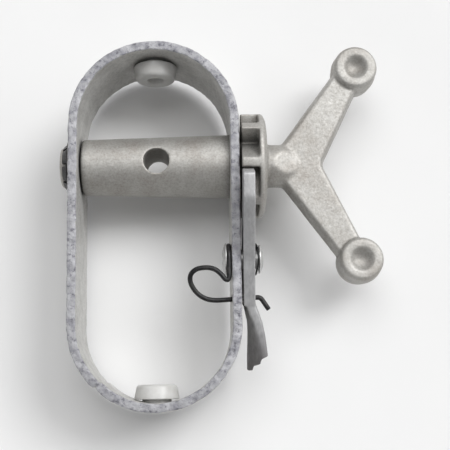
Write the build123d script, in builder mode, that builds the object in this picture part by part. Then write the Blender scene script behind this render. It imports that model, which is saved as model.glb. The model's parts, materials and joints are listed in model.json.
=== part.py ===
from build123d import *
import os
from math import cos, radians, sin

# A hand ratchet winch for wire rope: a looped flat-bar frame carries a cast winch spindle,
# and a sprung pawl on the right leg locks the spindle's ratchet wheel.
# Millimetres. X is the spindle axis, Y the long axis of the frame, Z the width of the bar.
# The origin is where the rope's cross-hole meets the spindle axis.

# ---- frame: one flat bar bent into a loop, butt welded ----
BAR_WIDTH = 25.4
BAR_THICK = 3.0
FRAME_X = -0.6                    # centre line of the loop
FRAME_WIDTH = 52.5
FRAME_TOP = 37.0
FRAME_BOTTOM = -77.2
BAR_EDGE_ROUND = 0.35

# ---- rope guide grommets in the two ends of the loop ----
ROPE_HOLE_R = 2.5
SPIGOT_R = 4.5
GROMMET_BASE_R = 7.0
GROMMET_TIP_R = 6.2
GROMMET_REACH = 4.5
GROMMET_EDGE_ROUND = 0.5

# ---- winch spindle: journal, drum, ratchet wheel, flange, neck and Y handle in one casting ----
RUNNING_CLEARANCE = 0.1
END_PLAY = 0.3
JOURNAL_R = 6.25
JOURNAL_END_X = -30.3
DRUM_SMALL_R = 8.8
DRUM_R = 10.0
CROSS_HOLE_R = 3.9
TOOTH_COUNT = 8
TOOTH_TIP_R = 16.5
TOOTH_ROOT_R = 10.3
TOOTH_FACE_DEG = 15.0             # one steep face, from +Y towards +Z; the rest follow by pitch
TOOTH_LAND_DEG = 10.0
TOOTH_ROOT_ROUND = 0.6
RATCHET_X = 26.2
FLANGE_X = 31.6
NECK_X = 34.4
NECK_R = 6.8
HANDLE_X = 39.2
FAIRING_END_X = 45.4
ARM_HALF_THICK = 4.0
ARM_DRAFT = 4.0
CROTCH_X = 52.2
CROTCH_ROUND = 3.0
KNOB_X = 63.3
KNOB_Y = 30.9
KNOB_R = 7.2
KNOB_HALF_THICK = 5.5
KNOB_EDGE_ROUND = 1.4
DIMPLE_R = 3.75
DIMPLE_DEPTH = 1.9

# ---- star lock washer pressed on the journal, outside the left leg ----
STAR_R = 8.75
STAR_RIM_R = 7.5
STAR_THICK = 0.7
STAR_HEIGHT = 2.5
STAR_PRONGS = 8
STAR_SLOT = 1.1
STAR_SLOT_DEG = 6.4

# ---- pawl, its rivet, wave washer and wire spring ----
PIVOT_Y = -31.0
PIVOT_Z = 7.0
PAWL_X = 26.05
PAWL_THICK = 3.6
PAWL_LIFT_DEG = 8.0               # how far the drawn pawl stands off full engagement
PAWL_FACE_GAP = 0.35
PAWL_BOSS_R = 7.0
PAWL_TIP_IN_R = 13.0
PAWL_TIP_OUT_R = 19.3
PAWL_WHEEL_GAP = 0.6
TAIL_HALF_WIDTH = 6.0
TAB_TWIST_DEG = (0.0, 6.0, 14.0, 20.0)
TAB_U = (-13.5, -19.0, -26.0, -34.5)
TAB_X = (27.85, 29.6, 30.3, 30.7)
TAB_WIDTH = (12.0, 11.8, 11.4, 10.0)
TAB_THICK = (3.6, 3.5, 3.3, 3.0)
TAB_END_NEAR_Y = -58.3            # the tab's end is cut at a slant, longest beside the frame
TAB_END_FAR_Y = -67.1
WIRE_HOLE_R = 1.3
WIRE_HOLE_Y = -42.8
WIRE_HOLE_Z = 6.7
RIVET_R = 3.0
RIVET_IN_HEAD_R = 5.05
RIVET_OUT_HEAD_R = 4.4
RIVET_HEAD_RISE = 1.4
WAVE_R = 4.95
WAVE_THICK = 0.5
WAVE_BEND_R = 16.0
WIRE_R = 0.75
COIL_MEAN_R = 4.25
SLOT_Y = -43.1
SLOT_Z = 6.9
SLOT_WIDTH = 2.8
SLOT_LENGTH = 9.0

# ---- worked out from the driving dimensions ----
LEG_OUT_RIGHT = FRAME_X + FRAME_WIDTH / 2
LEG_IN_RIGHT = LEG_OUT_RIGHT - BAR_THICK
LEG_OUT_LEFT = FRAME_X - FRAME_WIDTH / 2
LEG_IN_LEFT = LEG_OUT_LEFT + BAR_THICK
LOOP_OUT_R = FRAME_WIDTH / 2
LOOP_IN_R = LOOP_OUT_R - BAR_THICK
LOOP_LENGTH = FRAME_TOP - FRAME_BOTTOM
LOOP_MID_Y = (FRAME_TOP + FRAME_BOTTOM) / 2
TOP_CENTRE_Y = FRAME_TOP - LOOP_OUT_R
BOTTOM_CENTRE_Y = FRAME_BOTTOM + LOOP_OUT_R
FLAT_SEAT_DROP = LOOP_IN_R - (LOOP_IN_R**2 - GROMMET_BASE_R**2) ** 0.5
TOOTH_PITCH_DEG = 360 / TOOTH_COUNT
COIL_X = LEG_IN_RIGHT - WIRE_R
HEAD_IN_X = LEG_IN_RIGHT - 2 * WIRE_R
PAWL_OUT_X = PAWL_X + PAWL_THICK
WAVE_SAG = WAVE_BEND_R - (WAVE_BEND_R**2 - WAVE_R**2) ** 0.5
HEAD_OUT_X = PAWL_OUT_X + 0.15 + WAVE_SAG + WAVE_THICK


def polar(radius, degrees):
    """A point in a YZ sketch, its angle measured from +Y towards +Z."""
    return (radius * cos(radians(degrees)), radius * sin(radians(degrees)))


# The loop of flat bar, with its holes for the spindle, rivet, wire spring and grommets.
with BuildPart() as strap_frame:
    with BuildSketch(Plane.XY.offset(-BAR_WIDTH / 2)):
        with Locations((FRAME_X, LOOP_MID_Y)):
            SlotOverall(LOOP_LENGTH, FRAME_WIDTH, rotation=90)
            SlotOverall(
                LOOP_LENGTH - 2 * BAR_THICK, FRAME_WIDTH - 2 * BAR_THICK, rotation=90, mode=Mode.SUBTRACT
            )
    extrude(amount=BAR_WIDTH)
    rims = strap_frame.faces().filter_by(Axis.Z).edges()
    fillet(rims, BAR_EDGE_ROUND)
    with BuildSketch(Plane.YZ):
        Circle(DRUM_R + RUNNING_CLEARANCE)
        with Locations((PIVOT_Y, PIVOT_Z)):
            Circle(RIVET_R)
        with Locations((SLOT_Y, SLOT_Z)):
            SlotOverall(SLOT_LENGTH, SLOT_WIDTH, rotation=90)
    extrude(amount=LEG_OUT_RIGHT + 1, mode=Mode.SUBTRACT)
    with BuildSketch(Plane.YZ):
        Circle(JOURNAL_R + RUNNING_CLEARANCE)
    extrude(amount=LEG_OUT_LEFT - 1, mode=Mode.SUBTRACT)
    with BuildSketch(Plane.XZ.offset(-FRAME_TOP - 1)):
        with Locations((FRAME_X, 0)):
            Circle(SPIGOT_R)
    extrude(amount=LOOP_LENGTH + 2, mode=Mode.SUBTRACT)


def grommet_profile(seat_y, inward, outer_y):
    """Half section of a grommet, drawn outwards from the rope hole beside the axis of the loop."""
    tip_y = seat_y + inward * GROMMET_REACH
    left = FRAME_X + ROPE_HOLE_R
    Polyline(
        (left, tip_y),
        (FRAME_X + GROMMET_TIP_R, tip_y),
        (FRAME_X + GROMMET_BASE_R, seat_y),
        (FRAME_X + SPIGOT_R, seat_y),
        (FRAME_X + SPIGOT_R, outer_y),
        (left, outer_y),
        close=True,
    )


GROMMET_AXIS = Axis((FRAME_X, 0, 0), (0, 1, 0))
SPIGOT_DROP = LOOP_OUT_R - (LOOP_OUT_R**2 - SPIGOT_R**2) ** 0.5

# Moulded rope guides: a tapered boss inside the loop, and a spigot through the bar, flush outside.
with BuildPart() as top_grommet:
    with BuildSketch(Plane.XY):
        with BuildLine():
            grommet_profile(FRAME_TOP - BAR_THICK - FLAT_SEAT_DROP, -1, FRAME_TOP - SPIGOT_DROP)
        make_face()
    revolve(axis=GROMMET_AXIS)
    tip = top_grommet.faces().sort_by(Axis.Y)[0].edges()
    fillet(tip, GROMMET_EDGE_ROUND)

with BuildPart() as bottom_grommet:
    with BuildSketch(Plane.XY):
        with BuildLine():
            grommet_profile(FRAME_BOTTOM + BAR_THICK + FLAT_SEAT_DROP, 1, FRAME_BOTTOM + SPIGOT_DROP)
        make_face()
    revolve(axis=GROMMET_AXIS)
    tip = bottom_grommet.faces().sort_by(Axis.Y)[-1].edges()
    fillet(tip, GROMMET_EDGE_ROUND)

# The winch spindle. Its turned half section runs from the journal to the fairing on the handle.
DRUM_X = LEG_IN_LEFT + END_PLAY
BEARING_X = LEG_IN_RIGHT - END_PLAY
JOURNAL_CHAMFER = 0.6
FLANGE_ROUND = ((FLANGE_X + 0.5, TOOTH_TIP_R), (33.7, 15.3), (NECK_X, 12.8))
NECK_ROUND = 0.9
with BuildPart() as winch_spindle:
    with BuildSketch(Plane.XY):
        with BuildLine():
            Polyline(
                (FLANGE_X, 0),
                (FLANGE_X, TOOTH_TIP_R),
                FLANGE_ROUND[0],
            )
            ThreePointArc(*FLANGE_ROUND)
            Polyline(
                FLANGE_ROUND[2],
                (NECK_X, NECK_R + NECK_ROUND),
                (NECK_X + NECK_ROUND, NECK_R),
                (HANDLE_X, NECK_R),
                (FAIRING_END_X, ARM_HALF_THICK - 0.2),
                (FAIRING_END_X, 0),
                (FLANGE_X, 0),
            )
        make_face()
        with BuildLine():
            Polyline(
                (JOURNAL_END_X, 0),
                (JOURNAL_END_X, JOURNAL_R - JOURNAL_CHAMFER),
                (JOURNAL_END_X + JOURNAL_CHAMFER, JOURNAL_R),
                (DRUM_X, JOURNAL_R),
                (DRUM_X, DRUM_SMALL_R),
                (BEARING_X, DRUM_R),
                (RATCHET_X, DRUM_R),
                (RATCHET_X, 0),
                (JOURNAL_END_X, 0),
            )
        make_face()
    revolve(axis=Axis.X)
    # ratchet wheel: saw teeth with a flat land in front of each steep face
    with BuildSketch(Plane.YZ.offset(RATCHET_X)):
        with BuildLine():
            saw = []
            for tooth in range(TOOTH_COUNT):
                face = TOOTH_FACE_DEG + tooth * TOOTH_PITCH_DEG
                saw.append(polar(TOOTH_TIP_R, face - TOOTH_LAND_DEG))
                saw.append(polar(TOOTH_TIP_R, face))
                saw.append(polar(TOOTH_ROOT_R, face))
            Polyline(*saw, close=True)
        make_face()
        fillet(vertices().group_by(lambda v: v.center().length)[0], TOOTH_ROOT_ROUND)
    extrude(amount=FLANGE_X - RATCHET_X)
    # Y handle: two flat arms with a little draft each way from the parting plane
    with BuildSketch(Plane.XY) as arms:
        for side in (1, -1):
            with BuildLine():
                Polyline(
                    (HANDLE_X - 1, 0),
                    (HANDLE_X - 1, side * (NECK_R - 0.6)),
                    (HANDLE_X, side * NECK_R),
                    (KNOB_X - 7.0, side * (KNOB_Y - 1.2)),
                    (KNOB_X, side * KNOB_Y),
                    (KNOB_X + 0.5, side * (KNOB_Y - 7.0)),
                    (CROTCH_X, 0),
                    close=True,
                )
            make_face()
        fillet(vertices().sort_by_distance((CROTCH_X, 0))[0], CROTCH_ROUND)
    extrude(amount=ARM_HALF_THICK, taper=ARM_DRAFT)
    extrude(arms.sketch, amount=-ARM_HALF_THICK, taper=ARM_DRAFT)
    # end knobs, each dished on both faces
    for side in (1, -1):
        knob_plane = Plane(origin=(KNOB_X, side * KNOB_Y, 0), x_dir=(1, 0, 0), z_dir=(0, -1, 0))
        with BuildSketch(knob_plane):
            Rectangle(KNOB_R, 2 * KNOB_HALF_THICK, align=(Align.MIN, Align.CENTER))
            fillet(vertices().group_by(Axis.X)[-1], KNOB_EDGE_ROUND)
            with BuildLine():
                for face in (1, -1):
                    TangentArc(
                        (0, face * (KNOB_HALF_THICK - DIMPLE_DEPTH)),
                        (DIMPLE_R, face * KNOB_HALF_THICK),
                        tangent=(1, 0),
                    )
                    Polyline(
                        (DIMPLE_R, face * KNOB_HALF_THICK),
                        (0, face * KNOB_HALF_THICK),
                        (0, face * (KNOB_HALF_THICK - DIMPLE_DEPTH)),
                    )
            make_face(mode=Mode.SUBTRACT)
        revolve(axis=Axis((KNOB_X, side * KNOB_Y, 0), (0, 0, 1)))
    # rope cross-hole through the drum
    with BuildSketch(Plane.XY.offset(-DRUM_R - 1)):
        Circle(CROSS_HOLE_R)
    extrude(amount=2 * DRUM_R + 2, mode=Mode.SUBTRACT)

# Push-on star lock washer: a flat rim, and prongs that rise along the journal and bite on it.
STAR_X = LEG_OUT_LEFT - END_PLAY
with BuildPart() as star_lock_washer:
    with BuildSketch(Plane.XY):
        with BuildLine():
            Polyline(
                (STAR_X, STAR_R),
                (STAR_X, STAR_RIM_R),
                (STAR_X - STAR_HEIGHT + STAR_THICK, JOURNAL_R),
                (STAR_X - STAR_HEIGHT, JOURNAL_R),
                (STAR_X - STAR_THICK, STAR_RIM_R + 0.3),
                (STAR_X - STAR_THICK, STAR_R),
                close=True,
            )
        make_face()
    revolve(axis=Axis.X)
    with BuildSketch(Plane.YZ.offset(STAR_X)):
        with PolarLocations(0, STAR_PRONGS, start_angle=STAR_SLOT_DEG):
            Rectangle(STAR_RIM_R + 0.2, STAR_SLOT, align=(Align.MIN, Align.CENTER))
    extrude(amount=-STAR_HEIGHT - 1, mode=Mode.SUBTRACT)

# The pawl. Its own sketch plane has u towards the tip and v outwards, and it is tipped off the wheel.
PAWL_U = (0, cos(radians(PAWL_LIFT_DEG)), sin(radians(PAWL_LIFT_DEG)))
pawl_plane = Plane(origin=(PAWL_X, PIVOT_Y, PIVOT_Z), x_dir=PAWL_U, z_dir=(1, 0, 0))
LOCKED_FACE_DEG = TOOTH_FACE_DEG + 2 * TOOTH_PITCH_DEG


def beside_tooth(radius):
    """A point on the pawl's end, just clear of the steep tooth face, in the pawl's own plane."""
    y, z = polar(radius, LOCKED_FACE_DEG)
    gap_y, gap_z = polar(PAWL_FACE_GAP, LOCKED_FACE_DEG + 90)
    return (y + gap_y - PIVOT_Y, z + gap_z - PIVOT_Z)


def around_wheel(degrees):
    """A point just outside the ratchet wheel's tip circle, in the pawl's own plane."""
    y, z = polar(TOOTH_TIP_R + PAWL_WHEEL_GAP, degrees)
    return (y - PIVOT_Y, z - PIVOT_Z)


with BuildPart() as pawl:
    with BuildSketch(pawl_plane):
        with BuildLine():
            Polyline(
                around_wheel(140.5),
                beside_tooth(PAWL_TIP_IN_R),
                beside_tooth(PAWL_TIP_OUT_R),
                (18.0, 12.0),
                (0, PAWL_BOSS_R),
                (TAB_U[0], TAIL_HALF_WIDTH),
                (TAB_U[0], -TAIL_HALF_WIDTH),
                (0, -PAWL_BOSS_R),
                around_wheel(156),
            )
            ThreePointArc(around_wheel(156), around_wheel(148), around_wheel(140.5))
        make_face()
        Circle(PAWL_BOSS_R)
        fillet(vertices().sort_by_distance(beside_tooth(PAWL_TIP_OUT_R))[0], 1.2)
    extrude(amount=PAWL_THICK)
    # thumb tab: the tail twists outwards into a rest that is pressed to lift the tip
    for twist, u, x, width, thick in zip(TAB_TWIST_DEG, TAB_U, TAB_X, TAB_WIDTH, TAB_THICK):
        centre = pawl_plane.from_local_coords((u, 0, x - PAWL_X))
        across = pawl_plane.from_local_coords((u, cos(radians(twist)), x - PAWL_X + sin(radians(twist))))
        with BuildSketch(Plane(origin=centre, x_dir=across - centre, z_dir=pawl_plane.x_dir)):
            RectangleRounded(width, thick, 0.6)
    loft()
    with BuildSketch(Plane.XY):
        with BuildLine():
            Polyline(
                (PAWL_X - 1, TAB_END_FAR_Y),
                (PAWL_X + 10, TAB_END_NEAR_Y),
                (PAWL_X + 10, TAB_END_FAR_Y - 5),
                (PAWL_X - 1, TAB_END_FAR_Y - 5),
                close=True,
            )
        make_face()
    extrude(amount=BAR_WIDTH / 2, both=True, mode=Mode.SUBTRACT)
    with BuildSketch(Plane.YZ.offset(PAWL_X)):
        with Locations((PIVOT_Y, PIVOT_Z)):
            Circle(RIVET_R + RUNNING_CLEARANCE)
        with Locations((WIRE_HOLE_Y, WIRE_HOLE_Z)):
            Circle(WIRE_HOLE_R)
    extrude(amount=PAWL_THICK, mode=Mode.SUBTRACT)

# Pawl rivet: a domed head inside the leg over the wire coil, and one outside over the wave washer.
PIVOT_AXIS = Axis((0, PIVOT_Y, PIVOT_Z), (1, 0, 0))
RIVET_EDGE = 0.4
with BuildPart() as pawl_rivet:
    with BuildSketch(Plane(origin=(0, PIVOT_Y, PIVOT_Z), x_dir=(1, 0, 0), z_dir=(0, 0, 1))):
        with BuildLine():
            TangentArc(
                (HEAD_IN_X - RIVET_HEAD_RISE, 0),
                (HEAD_IN_X - RIVET_EDGE, RIVET_IN_HEAD_R),
                tangent=(0, 1),
            )
            Polyline(
                (HEAD_IN_X - RIVET_EDGE, RIVET_IN_HEAD_R),
                (HEAD_IN_X, RIVET_IN_HEAD_R),
                (HEAD_IN_X, RIVET_R),
                (HEAD_OUT_X, RIVET_R),
                (HEAD_OUT_X, RIVET_OUT_HEAD_R),
                (HEAD_OUT_X + RIVET_EDGE, RIVET_OUT_HEAD_R),
            )
            TangentArc(
                (HEAD_OUT_X + RIVET_HEAD_RISE, 0),
                (HEAD_OUT_X + RIVET_EDGE, RIVET_OUT_HEAD_R),
                tangent=(0, 1),
            )
            Line((HEAD_OUT_X + RIVET_HEAD_RISE, 0), (HEAD_IN_X - RIVET_HEAD_RISE, 0))
        make_face()
    revolve(axis=PIVOT_AXIS)

# Curved spring washer under the outer head: a ring cut from a bent sheet.
WAVE_CENTRE_X = HEAD_OUT_X - WAVE_BEND_R
with BuildPart() as wave_washer:
    with BuildSketch(Plane.XY.offset(PIVOT_Z - WAVE_R - 1)):
        with Locations((WAVE_CENTRE_X, PIVOT_Y)):
            Circle(WAVE_BEND_R)
            Circle(WAVE_BEND_R - WAVE_THICK, mode=Mode.SUBTRACT)
    extrude(amount=2 * WAVE_R + 2)
    with BuildSketch(Plane.YZ.offset(PAWL_OUT_X)):
        with Locations((PIVOT_Y, PIVOT_Z)):
            Circle(WAVE_R)
            Circle(RIVET_R + 0.05, mode=Mode.SUBTRACT)
    extrude(amount=HEAD_OUT_X - PAWL_OUT_X + 1, mode=Mode.INTERSECT)

# Wire spring: one coil round the rivet, a loop inside the frame, and an end through leg and pawl.
COIL_TOP_Z = PIVOT_Z + COIL_MEAN_R
WIRE_POINTS = (
    (COIL_X, PIVOT_Y, COIL_TOP_Z),
    (COIL_X, -37.4, COIL_TOP_Z),
    (17.2, -33.6, COIL_TOP_Z),
    (10.6, -33.8, 10.6),
    (9.6, -38.2, 9.2),
    (14.0, -43.9, 7.6),
    (31.2, -42.5, 6.5),
    (34.0, -46.2, 6.0),
)
WIRE_BENDS = (1.1, 4.5, 3.0, 4.5, 5.5, 1.6)
with BuildPart() as pawl_spring:
    with BuildSketch(Plane(origin=(COIL_X, PIVOT_Y + COIL_MEAN_R, PIVOT_Z), z_dir=(0, 0, 1))):
        Circle(WIRE_R)
    revolve(axis=PIVOT_AXIS)
    with BuildLine() as wire_path:
        FilletPolyline(*WIRE_POINTS, radius=WIRE_BENDS)
    with BuildSketch(Plane(origin=wire_path.line @ 0, z_dir=wire_path.line % 0)):
        Circle(WIRE_R)
    sweep(path=wire_path.line)

os.makedirs("parts", exist_ok=True)
strap_frame.part.label = "strap_frame"
export_step(strap_frame.part, "parts/strap_frame.step")
top_grommet.part.label = "top_grommet"
export_step(top_grommet.part, "parts/top_grommet.step")
bottom_grommet.part.label = "bottom_grommet"
export_step(bottom_grommet.part, "parts/bottom_grommet.step")
winch_spindle.part.label = "winch_spindle"
export_step(winch_spindle.part, "parts/winch_spindle.step")
star_lock_washer.part.label = "star_lock_washer"
export_step(star_lock_washer.part, "parts/star_lock_washer.step")
pawl.part.label = "pawl"
export_step(pawl.part, "parts/pawl.step")
pawl_rivet.part.label = "pawl_rivet"
export_step(pawl_rivet.part, "parts/pawl_rivet.step")
wave_washer.part.label = "wave_washer"
export_step(wave_washer.part, "parts/wave_washer.step")
pawl_spring.part.label = "pawl_spring"
export_step(pawl_spring.part, "parts/pawl_spring.step")
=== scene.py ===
import json
import math

import bmesh
import bpy
from mathutils import Matrix, Vector, noise


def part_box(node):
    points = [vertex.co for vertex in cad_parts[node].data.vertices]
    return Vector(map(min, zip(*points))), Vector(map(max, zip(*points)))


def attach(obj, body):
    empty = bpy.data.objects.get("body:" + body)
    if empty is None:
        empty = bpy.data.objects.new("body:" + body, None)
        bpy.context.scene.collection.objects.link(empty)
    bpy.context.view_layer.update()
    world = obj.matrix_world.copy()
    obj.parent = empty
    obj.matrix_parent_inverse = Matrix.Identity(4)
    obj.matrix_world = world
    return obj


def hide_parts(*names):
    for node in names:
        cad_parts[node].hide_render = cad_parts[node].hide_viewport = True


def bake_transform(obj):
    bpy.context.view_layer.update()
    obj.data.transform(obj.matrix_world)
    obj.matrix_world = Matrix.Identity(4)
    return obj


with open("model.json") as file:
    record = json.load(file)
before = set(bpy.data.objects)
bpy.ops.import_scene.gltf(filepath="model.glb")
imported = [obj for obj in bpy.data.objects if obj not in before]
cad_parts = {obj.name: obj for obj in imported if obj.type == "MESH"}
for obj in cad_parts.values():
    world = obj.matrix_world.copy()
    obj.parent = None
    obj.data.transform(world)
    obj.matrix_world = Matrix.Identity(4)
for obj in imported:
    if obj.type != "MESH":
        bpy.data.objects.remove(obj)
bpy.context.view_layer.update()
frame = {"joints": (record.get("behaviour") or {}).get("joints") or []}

# A hand ratchet winch for wire rope, lying flat on a pale table.
# Everything is in millimetres until a mesh is written, in the frame of the CAD:
# X along the spindle, Y along the frame's legs, Z across the bar.

MM = 0.001


def cad_box(node):
    """A CAD node's lowest and highest corners in millimetres."""
    low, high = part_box(node)
    return low / MM, high / MM


JOINTS = {joint["name"]: joint for joint in frame["joints"]}
PIVOT = Vector(JOINTS["pawl_swing"]["pos_m"]) / MM
PAWL_LIFT = -math.radians(JOINTS["pawl_swing"]["range_deg"][0])

# ---------------------------------------------------------------- sizes from the frame
BAR_LOW, BAR_HIGH = cad_box("strap_frame")
BAR_THICK = 3.0
BAR_HALF = BAR_HIGH.z
LOOP_X = (BAR_LOW.x + BAR_HIGH.x) / 2
LOOP_OUT_R = (BAR_HIGH.x - BAR_LOW.x) / 2
LOOP_IN_R = LOOP_OUT_R - BAR_THICK
TOP_Y = BAR_HIGH.y - LOOP_OUT_R
BOTTOM_Y = BAR_LOW.y + LOOP_OUT_R
LEG_IN_RIGHT = BAR_HIGH.x - BAR_THICK
LEG_IN_LEFT = BAR_LOW.x + BAR_THICK

CAST_LOW, CAST_HIGH = cad_box("winch_spindle")
WHEEL_R = CAST_HIGH.z
STAR_LOW, STAR_HIGH = cad_box("star_lock_washer")
STAR_R = STAR_HIGH.z
PAWL_LOW = cad_box("pawl")[0]
RIVET_LOW, RIVET_HIGH = cad_box("pawl_rivet")
WAVE_HIGH = cad_box("wave_washer")[1]
WIRE_R = 0.75


# ---------------------------------------------------------------- mesh helpers
def new_object(name, mesh):
    """Makes an object of a mesh and links it to the scene."""
    piece = bpy.data.objects.new(name, mesh)
    bpy.context.scene.collection.objects.link(piece)
    return piece


def mesh_from(name, points, faces):
    """A mesh object from points in millimetres and faces, with its normals outwards."""
    mesh = bpy.data.meshes.new(name)
    mesh.from_pydata([tuple(Vector(p) * MM) for p in points], [], faces)
    work = bmesh.new()
    work.from_mesh(mesh)
    bmesh.ops.remove_doubles(work, verts=work.verts, dist=1e-7)
    bmesh.ops.recalc_face_normals(work, faces=work.faces)
    work.to_mesh(mesh)
    work.free()
    return new_object(name, mesh)


def apply_modifier(piece, kind, **settings):
    """Adds one modifier and makes its result the piece's mesh."""
    modifier = piece.modifiers.new(kind, kind)
    for key, value in settings.items():
        setattr(modifier, key, value)
    graph = bpy.context.evaluated_depsgraph_get()
    done = bpy.data.meshes.new_from_object(piece.evaluated_get(graph))
    piece.modifiers.clear()
    old = piece.data
    piece.data = done
    bpy.data.meshes.remove(old)
    return piece


def combine(piece, others, operation):
    """Joins or cuts closed meshes and removes the tools."""
    for other in others:
        apply_modifier(piece, "BOOLEAN", object=other, operation=operation, solver="MANIFOLD")
        data = other.data
        bpy.data.objects.remove(other)
        bpy.data.meshes.remove(data)
    return piece


SMOOTH_SHARE = 0.5                # how far one smoothing step goes, and how many follow a remesh
SMOOTH_STEPS = 3


def remesh(piece, voxel):
    """Turns overlapping closed meshes into one even skin with softened edges."""
    apply_modifier(piece, "REMESH", mode="VOXEL", voxel_size=voxel * MM)
    apply_modifier(piece, "SMOOTH", factor=SMOOTH_SHARE, iterations=SMOOTH_STEPS)
    return piece


def shade(piece, degrees):
    """Smooth shading, with edges sharper than the angle kept sharp."""
    work = bmesh.new()
    work.from_mesh(piece.data)
    limit = math.radians(degrees)
    for face in work.faces:
        face.smooth = True
    for edge in work.edges:
        edge.smooth = not (edge.is_manifold and edge.calc_face_angle(0.0) > limit)
    work.to_mesh(piece.data)
    work.free()
    return piece


def displace(piece, move):
    """Moves each vertex along its normal by move(point, normal), all in millimetres."""
    mesh = piece.data
    normals = [v.normal.copy() for v in mesh.vertices]
    for vertex, normal in zip(mesh.vertices, normals):
        vertex.co += normal * (move(vertex.co / MM, normal) * MM)
    mesh.update()
    return piece


def rounded(points, radii, step=0.35):
    """A path through points with its inner corners turned into arcs of the given radii."""
    points = [Vector(p) for p in points]
    path = [points[0]]
    for before, corner, after, radius in zip(points, points[1:], points[2:], radii):
        if radius <= 0:
            path.append(corner)
            continue
        to_before = (before - corner).normalized()
        to_after = (after - corner).normalized()
        half = to_before.angle(to_after) / 2
        reach = radius / math.tan(half)
        centre = corner + (to_before + to_after).normalized() * (radius / math.sin(half))
        start = corner + to_before * reach
        turn = math.pi - 2 * half
        axis = (start - centre).cross(corner + to_after * reach - centre).normalized()
        count = max(2, round(radius * turn / step))
        for i in range(count + 1):
            spin = Matrix.Rotation(turn * i / count, 3, axis)
            path.append(centre + spin @ (start - centre))
    path.append(points[-1])
    return path


def rounded_loop(corners, step=0.35):
    """A closed outline in a plane from (x, y, radius) corners."""
    points = [Vector((x, y, 0)) for x, y, _ in corners]
    radii = [r for _, _, r in corners]
    middle = (points[0] + points[-1]) / 2
    path = rounded([middle, *points, middle], radii, step)
    return [(p.x, p.y) for p in path[1:]]


def lathe(name, profile, place, segments):
    """Turns a closed profile of (along, radius) points. place(along, a, b) gives the point in space."""
    points, faces = [], []
    count = len(profile)
    for i in range(segments):
        angle = 2 * math.pi * i / segments
        for along, radius in profile:
            points.append(place(along, radius * math.cos(angle), radius * math.sin(angle)))
    for i in range(segments):
        for k in range(count):
            a, b = i * count + k, i * count + (k + 1) % count
            c, d = (i + 1) % segments * count + (k + 1) % count, (i + 1) % segments * count + k
            on_axis = [profile[k][1] < 1e-6, profile[(k + 1) % count][1] < 1e-6]
            if all(on_axis):
                continue
            if on_axis[0]:
                faces.append((a, b, c))
            elif on_axis[1]:
                faces.append((a, b, d))
            else:
                faces.append((a, b, c, d))
    return mesh_from(name, points, faces)


def pin(name, low, high, radius, place, segments):
    """A plain cylinder from low to high along the placer's axis."""
    return lathe(name, [(low, 0), (low, radius), (high, radius), (high, 0)], place, segments)


def along_x(y, z):
    """A lathe placer for an axis parallel to X."""
    return lambda along, a, b: (along, y + a, z + b)


def along_y(x, z):
    """A lathe placer for an axis parallel to Y."""
    return lambda along, a, b: (x + b, along, z + a)


def along_z(x, y):
    """A lathe placer for an axis parallel to Z."""
    return lambda along, a, b: (x + a, y + b, along)


def prism(name, outline, place, low, high):
    """A closed prism: outline is a list of (a, b), place(a, b, depth) gives the point in space."""
    count = len(outline)
    points = [place(a, b, low) for a, b in outline] + [place(a, b, high) for a, b in outline]
    faces = [tuple(range(count)), tuple(range(2 * count - 1, count - 1, -1))]
    for i in range(count):
        j = (i + 1) % count
        faces.append((i, j, count + j, count + i))
    return mesh_from(name, points, faces)


def loft(name, sections):
    """A closed skin over rings that all have the same number of points."""
    count = len(sections[0])
    points = [p for ring in sections for p in ring]
    faces = [tuple(range(count - 1, -1, -1))]
    last = (len(sections) - 1) * count
    faces.append(tuple(range(last, last + count)))
    for s in range(len(sections) - 1):
        for i in range(count):
            j = (i + 1) % count
            a = s * count
            faces.append((a + i, a + j, a + count + j, a + count + i))
    return mesh_from(name, points, faces)


TUBE_CAP_SHARE = 0.75             # a wire's end narrows to this share and stands out by this much
TUBE_CAP_RISE = 0.3


def tube(name, path, radius, sides):
    """A round wire along a path, with softly rounded ends."""
    path = [Vector(p) for p in path]
    tangents = []
    for i in range(len(path)):
        a, b = path[max(i - 1, 0)], path[min(i + 1, len(path) - 1)]
        tangents.append((b - a).normalized())
    side = tangents[0].orthogonal().normalized()
    rings = []
    for i, (point, tangent) in enumerate(zip(path, tangents)):
        side = (side - tangent * side.dot(tangent)).normalized()
        up = tangent.cross(side)
        ring = []
        for k in range(sides):
            angle = 2 * math.pi * k / sides
            ring.append(point + (side * math.cos(angle) + up * math.sin(angle)) * radius)
        rings.append(ring)
    for end, inward in ((0, 1), (-1, -1)):
        centre = path[end]
        cap = [centre + (p - centre) * TUBE_CAP_SHARE for p in rings[end]]
        shift = tangents[end] * (-inward * radius * TUBE_CAP_RISE)
        cap = [p + shift for p in cap]
        if end == 0:
            rings.insert(0, cap)
        else:
            rings.append(cap)
    return loft(name, rings)


def ripple(point, scale, seed):
    """Smooth noise from -1 to 1, about scale millimetres across."""
    return noise.noise(Vector(point) / scale + Vector((seed, seed * 0.7, -seed)))


# ---------------------------------------------------------------- the bar's loop
LEG = TOP_Y - BOTTOM_Y
MID_R = (LOOP_OUT_R + LOOP_IN_R) / 2
LOOP_LENGTH = 2 * LEG + 2 * math.pi * MID_R
WELD_DEG = 46.0                   # the butt joint, on the lower left bend
WELD_AT = LEG + math.pi * MID_R + LEG + math.radians(WELD_DEG) * MID_R


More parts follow.
